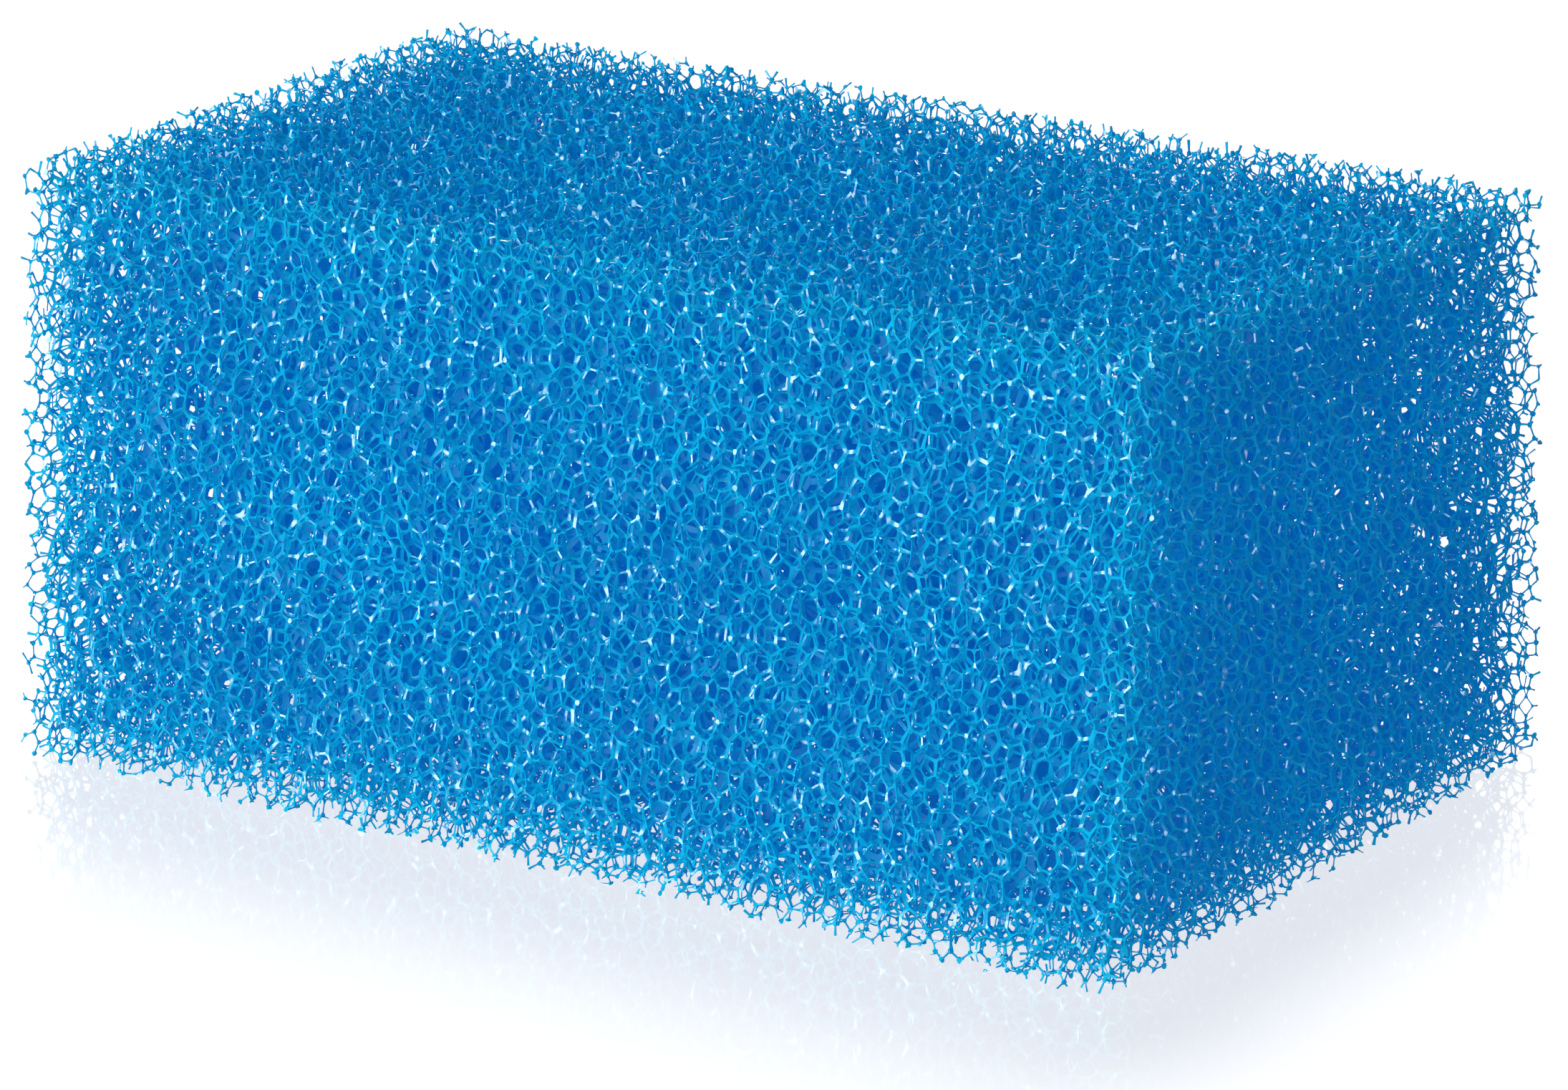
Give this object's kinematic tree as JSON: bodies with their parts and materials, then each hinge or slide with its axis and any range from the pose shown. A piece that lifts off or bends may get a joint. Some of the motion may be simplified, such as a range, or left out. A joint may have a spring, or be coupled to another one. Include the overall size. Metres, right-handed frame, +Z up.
{
  "type": "filter foam block",
  "caption": "Rectangular block of coarse open-cell foam that strains water and carries filter bacteria in a pond or aquarium filter.",
  "frame": {"origin": "middle of the base of the bounding box", "axes": "+X along the long side, +Y from the front face to the back face, +Z up from the base"},
  "size_m": [0.1112, 0.0704, 0.052],
  "materials": {
    "foam": "satin"
  },
  "bodies": {
    "root": {"foam_block": "foam"}
  },
  "joints": []
}
